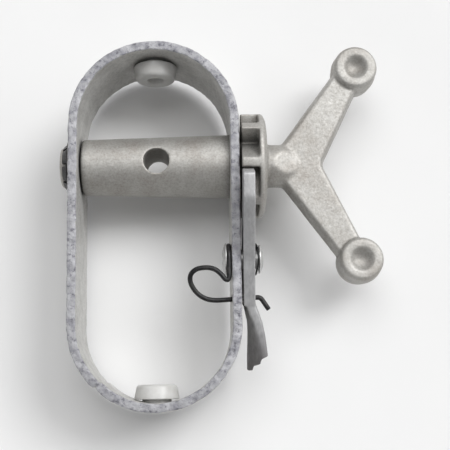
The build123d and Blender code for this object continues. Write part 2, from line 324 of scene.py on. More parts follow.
def loop_point(s):
    """Centre line point and outward direction at the length s from the right leg's foot."""
    s %= LOOP_LENGTH
    arc = math.pi * MID_R
    if s < LEG:
        return Vector((LOOP_X + MID_R, BOTTOM_Y + s, 0)), Vector((1, 0, 0))
    s -= LEG
    if s < arc:
        out = Vector((math.cos(s / MID_R), math.sin(s / MID_R), 0))
        return Vector((LOOP_X, TOP_Y, 0)) + out * MID_R, out
    s -= arc
    if s < LEG:
        return Vector((LOOP_X - MID_R, TOP_Y - s, 0)), Vector((-1, 0, 0))
    s -= LEG
    out = Vector((-math.cos(s / MID_R), -math.sin(s / MID_R), 0))
    return Vector((LOOP_X, BOTTOM_Y, 0)) + out * MID_R, out


BAR_CORNER = 0.4
BAR_STEP = 0.55                   # mesh size along the bar and round its section
SECTION_STEP = 0.85
HOLE_CHAMFER = 0.35
BEAD_REACH = 1.4                  # the weld: a dressed bead, a seam in it, and a step between the ends
BEAD_DEPTH = 0.12
SEAM_REACH = 0.4
SEAM_DEPTH = 0.5
END_STEP = 0.45
END_STEP_REACH = 6.0
RIM_REACH = 1.0                   # how far from the sheared edges the bar's faces are torn
SKIN_SINK = 0.06                  # depths of the unevenness of the faces
SKIN_BROAD = 0.05
SKIN_FINE = 0.03
TEAR_BROAD = 0.35
TEAR_FINE = 0.3
EDGE_SINK = 0.06                  # and of the sheared edges
EDGE_TEAR = 0.3
EDGE_SEAM = 0.4


def refine(outline, step):
    """Splits an outline's long edges so that none is longer than step."""
    result = []
    for a, b in zip(outline, outline[1:] + outline[:1]):
        count = max(1, math.ceil(math.dist(a, b) / step))
        for i in range(count):
            result.append(tuple(p + (q - p) * i / count for p, q in zip(a, b)))
    return result


def chamfered_cutter(name, radius, near, far, y, z):
    """A round cutter along X whose ends flare, so that the hole gets chamfered mouths."""
    flare = radius + HOLE_CHAMFER + 1
    profile = [
        (near - 1, 0),
        (near - 1, flare),
        (near + HOLE_CHAMFER, radius),
        (far - HOLE_CHAMFER, radius),
        (far + 1, flare),
        (far + 1, 0),
    ]
    return lathe(name, profile, along_x(y, z), 72)


def build_bar():
    """The loop of flat bar: sheared rough edges, a butt weld, and its holes."""
    half = BAR_THICK / 2
    corners = [(half, -BAR_HALF), (half, BAR_HALF), (-half, BAR_HALF), (-half, -BAR_HALF)]
    section = refine(rounded_loop([(a, z, BAR_CORNER) for a, z in corners], 0.2), SECTION_STEP)
    rows = round(LOOP_LENGTH / BAR_STEP)
    points, faces = [], []
    for i in range(rows):
        s = LOOP_LENGTH * i / rows
        centre, out = loop_point(s)
        from_weld = (s - WELD_AT + LOOP_LENGTH / 2) % LOOP_LENGTH - LOOP_LENGTH / 2
        bead = math.exp(-((from_weld / BEAD_REACH) ** 2))
        seam = math.exp(-((from_weld / SEAM_REACH) ** 2))
        sunk = END_STEP * math.exp(-from_weld / END_STEP_REACH) if from_weld > 0 else 0.0
        for a, z in section:
            p = centre + out * a + Vector((0, 0, z))
            rim = max(0.0, (abs(z) - BAR_HALF + RIM_REACH) / RIM_REACH)
            skin = SKIN_SINK + SKIN_BROAD * ripple(p, 5.0, 3.1) + SKIN_FINE * ripple(p, 1.4, 7.7)
            broad = TEAR_BROAD * max(0.0, ripple(p, 2.2, 12.3))
            torn = rim * (broad + TEAR_FINE * max(0.0, ripple(p, 0.9, 5.0)))
            weld = bead * BEAD_DEPTH * (1 + ripple(p, 1.0, 21.0)) + SEAM_DEPTH * seam * (0.6 + 0.4 * rim)
            p -= out * (sunk + a / half * (skin + torn + weld))
            edge = EDGE_SINK + EDGE_TEAR * max(0.0, ripple(p, 1.5, 9.0)) + EDGE_SEAM * seam
            p.z -= math.copysign(rim * edge, z)
            points.append(p)
    width = len(section)
    for i in range(rows):
        for k in range(width):
            a, b = i * width + k, i * width + (k + 1) % width
            c, d = (i + 1) % rows * width + (k + 1) % width, (i + 1) % rows * width + k
            faces.append((a, b, c, d))
    bar = mesh_from("bar_loop", points, faces)
    right, left = (LEG_IN_RIGHT, BAR_HIGH.x), (BAR_LOW.x, LEG_IN_LEFT)
    slot_corners = []
    for a, b in ((1, -1), (1, 1), (-1, 1), (-1, -1)):
        slot_corners.append((a * SLOT_HALF_WIDTH, b * SLOT_HALF_LENGTH, SLOT_ROUND))
    slot = [(SLOT_Y + a, SLOT_Z + b) for a, b in rounded_loop(slot_corners)]
    cutters = [
        chamfered_cutter("drum_cutter", DRUM_R + RUNNING_GAP, *right, 0, 0),
        chamfered_cutter("journal_cutter", JOURNAL_R + RUNNING_GAP, *left, 0, 0),
        prism("slot_cutter", slot, lambda a, b, x: (x, a, b), LEG_IN_RIGHT - 1, BAR_HIGH.x + 1),
        pin("guide_cutter", BAR_LOW.y - 1, BAR_HIGH.y + 1, SPIGOT_R, along_y(LOOP_X, 0), 64),
    ]
    combine(bar, cutters, "DIFFERENCE")
    return shade(bar, 50)


# ---------------------------------------------------------------- rope guides
ROPE_HOLE_R = 2.5
SPIGOT_R = 4.5
GUIDE_BASE_R = 7.0
GUIDE_TIP_R = 6.2
GUIDE_REACH = 4.5


def build_guide(name, node):
    """A moulded rope guide: a tapered boss with soft edges and a spigot through the bar."""
    low, high = cad_box(node)
    inward = -1 if high.y > 0 else 1
    outer, tip = (high.y, low.y) if inward < 0 else (low.y, high.y)
    seat = tip - inward * GUIDE_REACH
    profile = rounded_loop(
        [
            (outer, ROPE_HOLE_R, 0.5),
            (outer, SPIGOT_R, 0.3),
            (seat, SPIGOT_R, 0.1),
            (seat, GUIDE_BASE_R, 0.35),
            (tip, GUIDE_TIP_R, 1.3),
            (tip, ROPE_HOLE_R, 0.6),
        ],
        0.15,
    )
    guide = lathe(name, profile, along_y(LOOP_X, 0), 96)
    return shade(guide, 60)


# ---------------------------------------------------------------- the cast spindle
RUNNING_GAP = 0.1
END_PLAY = 0.3
JOURNAL_R = 6.25
DRUM_SMALL_R = 8.8
DRUM_R = 10.0
CROSS_HOLE_R = 3.9
TOOTH_COUNT = 8
TOOTH_ROOT_R = 10.3
TOOTH_FACE_DEG = 15.0
TOOTH_LAND_DEG = 10.0
RATCHET_X = 26.2
FLANGE_X = 31.6
FLANGE_RIM = 1.3                  # the flange's full radius is this thick, then it slopes in
FLANGE_SLOPE = 2.2
NECK_X = 34.4
NECK_R = 6.8
HANDLE_X = 39.2
FAIRING_X = 45.6
ARM_HALF = 4.0
CROTCH_X = 52.2
CROTCH_ROUND = 3.2
KNOB_R = 7.2
KNOB_X = CAST_HIGH.x - KNOB_R
KNOB_Y = CAST_HIGH.y - KNOB_R
KNOB_HALF = 5.5
KNOB_SIDE_ROUND = 8.0
DIMPLE_R = 3.75
DIMPLE_DEPTH = 1.9
DIMPLE_STEPS = 7
DIMPLE_STEP = 0.15                # share of the dimple's radius
CAST_OVERLAP = 0.5                # how far the teeth reach into the flange
CAST_DRILL = 12                   # half the length of the drill for the rope's hole
CAST_VOXEL = 0.36
CAST_SINK = 0.05                  # depths of the casting's unevenness
CAST_BROAD = 0.05
CAST_FINE = 0.02
MARK_HALF_WIDTH = 0.3             # of the parting line, the ejector mark's rim and the notch beside it
PARTING_RISE = 0.16
EJECTOR_X = 41.8
EJECTOR_Y = 0.6
EJECTOR_R = 2.5
EJECTOR_DEPTH = 0.035
NOTCH_GAP = 0.9
NOTCH_DEPTH = 0.05
NOTCH_HALF_LENGTH = 1.8


def inset(outline, distance):
    """An anticlockwise outline shrunk by moving each corner along its two edges' normals."""
    result = []
    for before, corner, after in zip(outline[-1:] + outline[:-1], outline, outline[1:] + outline[:1]):
        first = (Vector(corner) - Vector(before)).normalized()
        second = (Vector(after) - Vector(corner)).normalized()
        normal = (Vector((-first.y, first.x)) + Vector((-second.y, second.x))).normalized()
        spread = max(0.5, normal.dot(Vector((-first.y, first.x))))
        moved = Vector(corner) + normal * (distance / spread)
        result.append((moved.x, moved.y))
    return result


ARM_EDGE = (
    # share of the half thickness, inset in millimetres
    (-1.0, 1.75),
    (-0.96, 1.2),
    (-0.86, 0.8),
    (-0.7, 0.5),
    (0.0, 0.0),
    (0.7, 0.5),
    (0.86, 0.8),
    (0.96, 1.2),
    (1.0, 1.75),
)


def drafted_plate(name, outline, half):
    """A plate in the XY plane, widest at its middle, with tapered sides and softly rounded edges."""
    sections = []
    for share, shrink in ARM_EDGE:
        sections.append([(x, y, share * half) for x, y in inset(outline, shrink)])
    return loft(name, sections)


def spindle_profile():
    """Half section of the spindle's round part, from the journal's end to the handle's fairing."""
    corners = [
        (CAST_LOW.x, JOURNAL_R, 0.6),
        (LEG_IN_LEFT + END_PLAY, JOURNAL_R, 0.2),
        (LEG_IN_LEFT + END_PLAY, DRUM_SMALL_R, 0.5),
        (LEG_IN_RIGHT - END_PLAY, DRUM_R, 3.0),
        (RATCHET_X, DRUM_R, 0.3),
        (RATCHET_X, TOOTH_ROOT_R, 0.1),
        (FLANGE_X, TOOTH_ROOT_R, 0.5),
        (FLANGE_X, WHEEL_R, 0.2),
        (FLANGE_X + FLANGE_RIM, WHEEL_R, 0.9),
        (NECK_X - 0.4, WHEEL_R - FLANGE_SLOPE, 1.2),
        (NECK_X, NECK_R, 1.2),
        (HANDLE_X + 0.8, NECK_R, 2.5),
        (FAIRING_X, ARM_HALF - 0.3, 0.3),
    ]
    path = rounded(
        [(CAST_LOW.x, 0, 0), *((x, r, 0) for x, r, _ in corners), (FAIRING_X, 0, 0)],
        [radius for _, _, radius in corners],
    )
    return [(p.x, p.y) for p in path]


NECK_PRESS_SOFT = 0.25
NECK_BLEND_X = HANDLE_X + 2.0     # where the neck is smoothed most, and how far either way
NECK_BLEND_REACH = 5.0
NECK_BLEND_STEPS = 24


def flatten_neck(spindle):
    """Presses the neck's top and bottom down smoothly to meet the flat faces of the arms."""
    start, end = NECK_X + 1.0, FAIRING_X - 1.0
    for vertex in spindle.data.vertices:
        x, height = vertex.co.x / MM, abs(vertex.co.z) / MM
        share = min(1.0, max(0.0, (x - start) / (end - start)))
        share = share * share * (3 - 2 * share)
        knee = NECK_R + (ARM_HALF + 0.05 - NECK_R) * share
        if start < x < FAIRING_X + 2.0 and height > knee:
            over = height - knee
            pressed = knee + over / (1.0 + over / NECK_PRESS_SOFT)
            vertex.co.z = math.copysign(pressed * MM, vertex.co.z)
    group = spindle.vertex_groups.new(name="neck")
    for vertex in spindle.data.vertices:
        off = (vertex.co.x / MM - NECK_BLEND_X) / NECK_BLEND_REACH
        if abs(off) < 1.0:
            group.add([vertex.index], 1.0 - off * off, "REPLACE")
    steps = {"factor": SMOOTH_SHARE, "iterations": NECK_BLEND_STEPS}
    apply_modifier(spindle, "SMOOTH", vertex_group="neck", **steps)
    spindle.vertex_groups.clear()


def polar(radius, degrees):
    """A point at a radius and an angle, as two coordinates."""
    return radius * math.cos(math.radians(degrees)), radius * math.sin(math.radians(degrees))


def knob_profile():
    """Half section of a round knob with a bowl-shaped dimple in both faces."""
    bowl = []
    for step in range(DIMPLE_STEPS):
        share = step * DIMPLE_STEP
        bowl.append((KNOB_HALF - DIMPLE_DEPTH * (1 - share * share), DIMPLE_R * share, 0))
    face = [
        *bowl,
        (KNOB_HALF, DIMPLE_R + 0.2, 0.8),
        (KNOB_HALF, KNOB_R - 0.35, 1.4),
    ]
    corners = [(-z, r, bend) for z, r, bend in face] + [(0, KNOB_R, KNOB_SIDE_ROUND)] + face[::-1]
    path = rounded([(z, r, 0) for z, r, _ in corners], [bend for _, _, bend in corners[1:-1]])
    return [(p.x, p.y) for p in path]


def build_spindle():
    """Journal, drum, ratchet wheel, flange, neck and Y handle, cast in one."""
    spindle = lathe("cast_spindle", spindle_profile(), along_x(0, 0), 128)
    saw = []
    for tooth in range(TOOTH_COUNT):
        face = TOOTH_FACE_DEG + tooth * 360 / TOOTH_COUNT
        saw.append(polar(WHEEL_R, face - TOOTH_LAND_DEG))
        saw.append(polar(WHEEL_R, face - TOOTH_LAND_DEG / 2))
        saw.append(polar(WHEEL_R, face))
        saw.append(polar(TOOTH_ROOT_R, face))
    teeth = prism("teeth", saw, lambda a, b, x: (x, a, b), RATCHET_X, FLANGE_X + CAST_OVERLAP)
    arm = [
        (HANDLE_X - 3.0, NECK_R - 0.9, 0),
        (HANDLE_X + 0.2, NECK_R, 2.5),
        (KNOB_X - 7.0, KNOB_Y - 1.2, 0),
        (KNOB_X, KNOB_Y, 0),
        (KNOB_X + 0.5, KNOB_Y - 7.0, 0),
    ]
    lower = [(x, -y, r) for x, y, r in arm]
    corners = [*lower, (CROTCH_X, 0, CROTCH_ROUND), *reversed(arm)]
    arms = drafted_plate("arms", rounded_loop(corners), ARM_HALF)
    pieces = [teeth, arms]
    for side in (1, -1):
        pieces.append(lathe("knob", knob_profile(), along_z(KNOB_X, side * KNOB_Y), 72))
    combine(spindle, pieces, "UNION")
    hole = pin("rope_hole", -CAST_DRILL, CAST_DRILL, CROSS_HOLE_R, along_z(0, 0), 64)
    combine(spindle, [hole], "DIFFERENCE")
    remesh(spindle, CAST_VOXEL)
    flatten_neck(spindle)

    def cast_skin(p, normal):
        """Gentle unevenness, a parting line round the handle, an ejector mark and a notch."""
        move = -CAST_SINK + CAST_BROAD * ripple(p, 6.0, 4.0) + CAST_FINE * ripple(p, 1.5, 8.0)
        if p.x > HANDLE_X and abs(normal.z) < 0.5:
            move += PARTING_RISE * math.exp(-((p.z / MARK_HALF_WIDTH) ** 2))
        if normal.z > 0.6 and p.x > NECK_X:
            ring = math.hypot(p.x - EJECTOR_X, p.y - EJECTOR_Y) - EJECTOR_R
            move -= EJECTOR_DEPTH * math.exp(-((ring / MARK_HALF_WIDTH) ** 2))
            past = (p.x - EJECTOR_X - EJECTOR_R - NOTCH_GAP) / MARK_HALF_WIDTH
            move -= NOTCH_DEPTH * math.exp(-(past**2) - (p.y / NOTCH_HALF_LENGTH) ** 2)
        return move

    displace(spindle, cast_skin)
    return shade(spindle, 60)


# ---------------------------------------------------------------- star lock washer
STAR_THICK = 0.7
STAR_RIM_R = 7.5
STAR_PRONGS = 8
STAR_SLOT = 1.1
STAR_SLOT_DEG = 6.4
STAR_SLOT_FROM = 4                # inside the journal, so that the slots are open there
STAR_SLOT_ROUND = 0.5


def build_star():
    """A push-on washer: a flat rim, and prongs that climb the journal."""
    base, top = STAR_HIGH.x, STAR_LOW.x
    profile = rounded_loop(
        [
            (base, STAR_R, 0.12),
            (base, STAR_RIM_R, 0.6),
            (top + STAR_THICK, JOURNAL_R, 0.1),
            (top, JOURNAL_R, 0.15),
            (base - STAR_THICK, STAR_RIM_R + 0.3, 0.5),
            (base - STAR_THICK, STAR_R, 0.12),
        ],
        0.1,
    )
    star = lathe("star_washer", profile, along_x(0, 0), 160)
    half, near, far = STAR_SLOT / 2, STAR_SLOT_FROM, STAR_RIM_R + 0.2
    outline = rounded_loop(
        [(near, -half, 0), (far, -half, STAR_SLOT_ROUND), (far, half, STAR_SLOT_ROUND), (near, half, 0)]
    )
    cutters = []
    for prong in range(STAR_PRONGS):
        turn = Matrix.Rotation(math.radians(STAR_SLOT_DEG + prong * 360 / STAR_PRONGS), 3, "X")
        cutters.append(prism("slot", outline, lambda a, b, x: turn @ Vector((x, a, b)), top - 1, base + 1))
    combine(star, cutters, "DIFFERENCE")
    return shade(star, 35)


# ---------------------------------------------------------------- pawl and its rivet
PAWL_THICK = 3.6
PAWL_FACE_GAP = 0.35
PAWL_BOSS_R = 7.0
PAWL_TIP_IN_R = 13.0
PAWL_TIP_OUT_R = 19.3
PAWL_WHEEL_GAP = 0.6
TAIL_HALF_WIDTH = 6.0
TAB = (
    # u along the tail, x, width, thickness, twist in degrees, corner softness
    (-10.0, 27.85, 12.2, 3.6, 0.0, 0.28),
    (-13.5, 28.0, 12.0, 3.6, 0.5, 0.30),
    (-16.0, 28.75, 11.9, 3.65, 2.5, 0.34),
    (-19.0, 29.6, 11.8, 3.7, 6.0, 0.42),
    (-22.5, 30.05, 11.6, 3.8, 10.5, 0.52),
    (-26.0, 30.25, 11.4, 3.9, 16.0, 0.62),
    (-30.0, 30.4, 11.0, 4.0, 22.0, 0.70),
    (-34.3, 30.5, 10.8, 3.9, 26.0, 0.74),
)
TAB_CUT = (
    # x and y of the worn, stepped end of the tab
    (23.4, -64.9),
    (28.9, -64.7),
    (29.2, -63.4),
    (31.0, -63.0),
    (31.4, -61.6),
    (34.0, -60.3),
    (37.4, -58.6),
    (37.4, -72.0),
    (23.4, -72.0),
)
TAB_CUT_Z = (-20, 30)
TAB_RING = 60                     # points in each of the tab's sections
PAWL_DRILL = (20, 34)             # X from inside the loop to beyond the pawl
WIRE_HOLE_R = 1.3
WIRE_HOLE_Y = -42.8
WIRE_HOLE_Z = 6.7
SLOT_Y = -43.1
SLOT_Z = 6.9
SLOT_HALF_WIDTH = 1.4
SLOT_HALF_LENGTH = 4.5
SLOT_ROUND = 1.35
PAWL_VOXEL = 0.22
PAWL_SKIN = 0.03                  # depth of its unevenness
PAWL_BACK = (18.0, 12.0, 6.0)     # u, v and rounding of the corner behind the hook
PAWL_HOLLOW_DEG = (156, 148, 140.5)   # where its underside follows the wheel
PAWL_BOSS_FAIR = 8.0
TAIL_U = -14.0
TAB_DARKEN_START_Y = -48.5         # the thumb tab is darker towards its end
TAB_DARKEN_FULL_Y = -64.0


def pawl_place(u, v, x):
    """The pawl's own plane: u towards its tip, v outwards, tipped off the wheel at rest."""
    y = u * math.cos(PAWL_LIFT) - v * math.sin(PAWL_LIFT)
    z = u * math.sin(PAWL_LIFT) + v * math.cos(PAWL_LIFT)
    return Vector((x, PIVOT.y + y, PIVOT.z + z))


def beside_tooth(radius):
    """A point on the pawl's end, just clear of the steep face of the tooth that it locks."""
    locked = TOOTH_FACE_DEG + 2 * 360 / TOOTH_COUNT
    y, z = polar(radius, locked)
    gap_y, gap_z = polar(PAWL_FACE_GAP, locked + 90)
    return y + gap_y - PIVOT.y, z + gap_z - PIVOT.z


def around_wheel(degrees):
    """A point just outside the wheel's tip circle, in the pawl's own plane."""
    y, z = polar(WHEEL_R + PAWL_WHEEL_GAP, degrees)
    return y - PIVOT.y, z - PIVOT.z


def build_pawl():
    """A stamped lever: hooked tip, round boss, and a tail twisted into a thumb tab."""
    corners = [
        (*beside_tooth(PAWL_TIP_OUT_R), 1.2),
        PAWL_BACK,
        (0, PAWL_BOSS_R, PAWL_BOSS_FAIR),
        (TAIL_U, TAIL_HALF_WIDTH, 0),
        (TAIL_U, -TAIL_HALF_WIDTH, 0),
        (0, -PAWL_BOSS_R, PAWL_BOSS_FAIR),
        (*around_wheel(PAWL_HOLLOW_DEG[0]), 1.0),
        (*around_wheel(PAWL_HOLLOW_DEG[1]), 0),
        (*around_wheel(PAWL_HOLLOW_DEG[2]), 0.6),
        (*beside_tooth(PAWL_TIP_IN_R), 0.4),
    ]
    low, high = PAWL_LOW.x, PAWL_LOW.x + PAWL_THICK
    pawl = prism("pawl_lever", rounded_loop(corners), pawl_place, low, high)
    unit = [polar(1.0, k * 360 / TAB_RING) for k in range(TAB_RING)]
    rings = []
    for u, x, width, thick, twist, corner in TAB:
        ring = []
        angle = math.radians(twist)
        for c, d in unit:
            a = width / 2 * math.copysign(abs(c) ** corner, c)
            b = thick / 2 * math.copysign(abs(d) ** corner, d)
            v = a * math.cos(angle) - b * math.sin(angle)
            offset = a * math.sin(angle) + b * math.cos(angle)
            ring.append(pawl_place(u, v, x + offset))
        rings.append(ring)
    combine(pawl, [loft("thumb_tab", rings)], "UNION")
    combine(pawl, [prism("tab_end", TAB_CUT, lambda a, b, z: (a, b, z), *TAB_CUT_Z)], "DIFFERENCE")
    holes = [
        pin("rivet_hole", *PAWL_DRILL, RIVET_R + RUNNING_GAP, along_x(PIVOT.y, PIVOT.z), 48),
        pin("wire_hole", *PAWL_DRILL, WIRE_HOLE_R, along_x(WIRE_HOLE_Y, WIRE_HOLE_Z), 32),
    ]
    combine(pawl, holes, "DIFFERENCE")
    remesh(pawl, PAWL_VOXEL)
    displace(pawl, lambda p, normal: -PAWL_SKIN + PAWL_SKIN * ripple(p, 3.0, 2.0))
    return shade(pawl, 60)


RIVET_R = 3.0
HEAD_IN_R = 5.05
HEAD_OUT_R = 4.4
HEAD_RISE = 1.4
HEAD_EDGE = 0.4
HEAD_TOP_DROP = 0.05              # the dome falls this much over this share of its radius
HEAD_TOP_SHARE = 0.45


def build_rivet():
    """A shank between two domed heads."""
    inside, outside = RIVET_LOW.x, RIVET_HIGH.x
    path = rounded(
        [
            (inside, 0, 0),
            (inside + HEAD_TOP_DROP, HEAD_IN_R * HEAD_TOP_SHARE, 0),
            (inside + HEAD_RISE - HEAD_EDGE, HEAD_IN_R, 0),
            (inside + HEAD_RISE, HEAD_IN_R, 0),
            (inside + HEAD_RISE, RIVET_R, 0),
            (outside - HEAD_RISE, RIVET_R, 0),
            (outside - HEAD_RISE, HEAD_OUT_R, 0),
            (outside - HEAD_RISE + HEAD_EDGE, HEAD_OUT_R, 0),
            (outside - HEAD_TOP_DROP, HEAD_OUT_R * HEAD_TOP_SHARE, 0),
            (outside, 0, 0),
        ],
        [4.0, 0.3, 0.15, 0.1, 0.1, 0.15, 0.3, 4.0],
        0.2,
    )
    rivet = lathe("rivet", [(p.x, p.y) for p in path], along_x(PIVOT.y, PIVOT.z), 72)
    return shade(rivet, 50)


WAVE_THICK = 0.5
WAVE_BEND_R = 16.0
WAVE_R = 4.95
WAVE_HOLE_GAP = 0.05


def build_wave():
    """A ring bent about an axis across the frame, so that it springs under the rivet's head."""

    def bent(along, a, b):
        sag = WAVE_BEND_R - math.sqrt(WAVE_BEND_R**2 - a * a)
        return (along - sag, PIVOT.y + a, PIVOT.z + b)

    far, near, hole = WAVE_HIGH.x, WAVE_HIGH.x - WAVE_THICK, RIVET_R + WAVE_HOLE_GAP
    corners = [(far, hole, 0.1), (far, WAVE_R, 0.15), (near, WAVE_R, 0.15), (near, hole, 0.1)]
    profile = rounded_loop(corners, 0.1)
    return shade(lathe("wave_ring", profile, bent, 72), 50)


# ---------------------------------------------------------------- wire spring
COIL_R = 4.25
COIL_X = LEG_IN_RIGHT - WIRE_R
COIL_TOP_Z = PIVOT.z + COIL_R
WIRE_LOOP = (
    (COIL_X, -36.1, COIL_TOP_Z),
    (21.8, -37.1, 11.25),
    (21.4, -37.75, 11.25),
    (20.6, -37.45, 11.25),
    (19.4, -36.0, 11.25),
    (17.7, -34.6, 11.2),
    (15.4, -33.95, 11.0),
    (12.4, -34.2, 10.5),
    (10.6, -35.4, 10.0),
    (10.05, -37.1, 9.5),
    (10.6, -39.2, 9.0),
    (12.3, -41.5, 8.4),
    (14.7, -43.0, 7.9),
    (17.6, -43.5, 7.5),
    (20.9, -43.35, 7.2),
)
WIRE_END = ((20.9, -43.35, 7.2), (31.4, -42.6, 6.5), (33.85, -46.2, 6.0))
COIL_TURN_DEG = 300
COIL_STEP_DEG = 5
WIRE_END_BEND = 1.6
WIRE_STEP = 0.4


def curve_through(points, step=0.35):
    """A smooth Catmull-Rom curve through points."""
    points = [Vector(p) for p in points]
    ends = [points[0] * 2 - points[1], *points, points[-1] * 2 - points[-2]]
    path = []
    for a, b, c, d in zip(ends, ends[1:], ends[2:], ends[3:]):
        count = max(2, round((c - b).length / step))
        for i in range(count):
            t = i / count
            slope = (c - a) * t
            square = (2 * a - 5 * b + 4 * c - d) * t**2
            cube = (3 * b - a - 3 * c + d) * t**3
            path.append(0.5 * (2 * b + slope + square + cube))
    return path


def build_spring():
    """One coil round the rivet, a hairpin, a loop inside the frame, and an end through leg and pawl."""
    coil = []
    for step in range(COIL_TURN_DEG // COIL_STEP_DEG):
        angle = math.radians(90 - COIL_TURN_DEG + COIL_STEP_DEG * step)
        y, z = PIVOT.y + COIL_R * math.cos(angle), PIVOT.z + COIL_R * math.sin(angle)
        coil.append(Vector((COIL_X, y, z)))
    straight = resampled([Vector((COIL_X, PIVOT.y, COIL_TOP_Z)), Vector(WIRE_LOOP[0])], WIRE_STEP)[:-1]
    end = resampled(rounded(WIRE_END, [WIRE_END_BEND], 0.3), WIRE_STEP)
    spring = tube("wire_spring", [*coil, *straight, *curve_through(WIRE_LOOP), *end], WIRE_R, 20)
    return shade(spring, 60)


def resampled(path, step):
    """Adds points on long straight stretches of a path."""
    result = []
    for a, b in zip(path, path[1:]):
        count = max(1, math.ceil((b - a).length / step))
        result += [a.lerp(b, i / count) for i in range(count)]
    return result + [path[-1]]


# ---------------------------------------------------------------- materials
class Shader:
    """A small helper to write node materials in a few lines."""

    def __init__(self, name):
        self.material = bpy.data.materials.new(name)
        self.material.use_nodes = True
        self.tree = self.material.node_tree
        self.bsdf = self.tree.nodes["Principled BSDF"]
        self.place = self.node("ShaderNodeTexCoord").outputs["Object"]

    def node(self, kind, **settings):
        """A new node, with its sockets and properties set by name."""
        made = self.tree.nodes.new(kind)
        for key, value in settings.items():
            if key in made.inputs:
                made.inputs[key].default_value = value
            else:
                setattr(made, key, value)
        return made

    def link(self, a, b):
        """Connects an output to an input."""
        self.tree.links.new(a, b)

    def set(self, **values):
        """Constant values on the shader's own sockets."""
        for key, value in values.items():
            self.bsdf.inputs[key.replace("_", " ")].default_value = value

    def noise(self, size, detail=4.0, rough=0.55, stretch=(1, 1, 1)):
        """Noise whose features are about size millimetres across."""
        mapping = self.node("ShaderNodeMapping")
        mapping.inputs["Scale"].default_value = stretch
        self.link(self.place, mapping.inputs["Vector"])
        made = self.node("ShaderNodeTexNoise", Scale=1 / (size * MM), Detail=detail, Roughness=rough)
        self.link(mapping.outputs["Vector"], made.inputs["Vector"])
        return made.outputs["Fac"]

    def ramp(self, value, stops):
        """A colour ramp from (position, colour) stops; a number makes a grey."""
        made = self.node("ShaderNodeValToRGB")
        ramp = made.color_ramp
        for i, (place, colour) in enumerate(stops):
            stop = ramp.elements[i] if i < 2 else ramp.elements.new(place)
            stop.position = place
            grey = isinstance(colour, (int, float))
            stop.color = (colour, colour, colour, 1) if grey else (*colour, 1)
        self.link(value, made.inputs["Fac"])
        return made.outputs["Color"]

    def mix(self, share, first, second, blend):
        """Two colours blended by a share; each may be a socket or a constant."""
        made = self.node("ShaderNodeMix", data_type="RGBA", blend_type=blend)
        for value, socket in ((share, 0), (first, 6), (second, 7)):
            if isinstance(value, bpy.types.NodeSocket):
                self.link(value, made.inputs[socket])
            elif isinstance(value, tuple):
                made.inputs[socket].default_value = (*value, 1)
            else:
                made.inputs[socket].default_value = value
        return made.outputs[2]

    def painted_shade(self, reach, dark):
        """Painted shade: darker where the surface is shut in within reach millimetres."""
        shut = self.node("ShaderNodeAmbientOcclusion", samples=8, Distance=reach * MM)
        return self.ramp(shut.outputs["AO"], [(0.25, dark), (0.85, 1.0)])

    def pointiness(self):
        """Over 0.5 on ridges, under it in creases."""
        return self.node("ShaderNodeNewGeometry").outputs["Pointiness"]

    def colour(self, socket):
        """Drives the base colour."""
        self.link(socket, self.bsdf.inputs["Base Color"])

    def rough(self, socket):
        """Drives the roughness."""
        self.link(socket, self.bsdf.inputs["Roughness"])

    def bump(self, *layers):
        """Bump from (height socket, depth in millimetres) layers."""
        normal = None
        for height, depth in layers:
            made = self.node("ShaderNodeBump", Strength=1.0, Distance=depth * MM)
            self.link(height, made.inputs["Height"])
            if normal:
                self.link(normal, made.inputs["Normal"])
            normal = made.outputs["Normal"]
        self.link(normal, self.bsdf.inputs["Normal"])


def galvanised_material():
    """The bar's rolled faces: dull zinc with faint blotches and specks, and painted shade where they are
    shut in.
    """
    s = Shader("galvanised_bar")
    s.set(Metallic=0.5)
    blotch = s.ramp(s.noise(6.0, 5.0, 0.6), [(0.35, (0.52, 0.515, 0.495)), (0.65, (0.66, 0.655, 0.635))])
    speck = s.ramp(s.noise(0.8, 6.0, 0.7), [(0.36, (0.70, 0.70, 0.71)), (0.54, (1, 1, 1))])
    skin = s.mix(0.7, blotch, speck, "MULTIPLY")
    # painted shade: the colour is darkened where the bar is shut in
    s.colour(s.mix(1.0, skin, s.painted_shade(3.0, 0.6), "MULTIPLY"))
    s.rough(s.ramp(s.noise(2.0, 4.0), [(0.3, 0.40), (0.7, 0.60)]))
    s.bump((s.noise(2.2, 5.0), 0.10), (s.noise(0.45, 3.0), 0.05))
    return s.material


def cut_edge_material():
    """The bar's sheared edges: darker, rough and pitted."""
    s = Shader("galvanised_cut_edge")
    s.set(Metallic=0.5)
    blotch = s.ramp(
        s.noise(2.4, 6.0, 0.65),
        [(0.36, (0.24, 0.24, 0.265)), (0.5, (0.37, 0.37, 0.39)), (0.68, (0.53, 0.53, 0.55))],
    )
    pits = s.ramp(s.noise(1.3, 5.0, 0.7), [(0.36, (0.30, 0.29, 0.34)), (0.47, (1, 1, 1))])
    skin = s.mix(0.7, blotch, pits, "MULTIPLY")
    # lighter on the ridges as wear, and painted shade darkening the creases
    wear_and_crease_shade = s.ramp(s.pointiness(), [(0.46, 0.5), (0.5, 1.0), (0.58, 1.1)])
    s.colour(s.mix(0.7, skin, wear_and_crease_shade, "MULTIPLY"))
    s.rough(s.ramp(s.noise(1.2, 4.0), [(0.3, 0.42), (0.7, 0.7)]))
    s.bump((s.noise(1.1, 6.0, 0.65), 0.30), (s.noise(0.35, 3.0), 0.09))
    return s.material


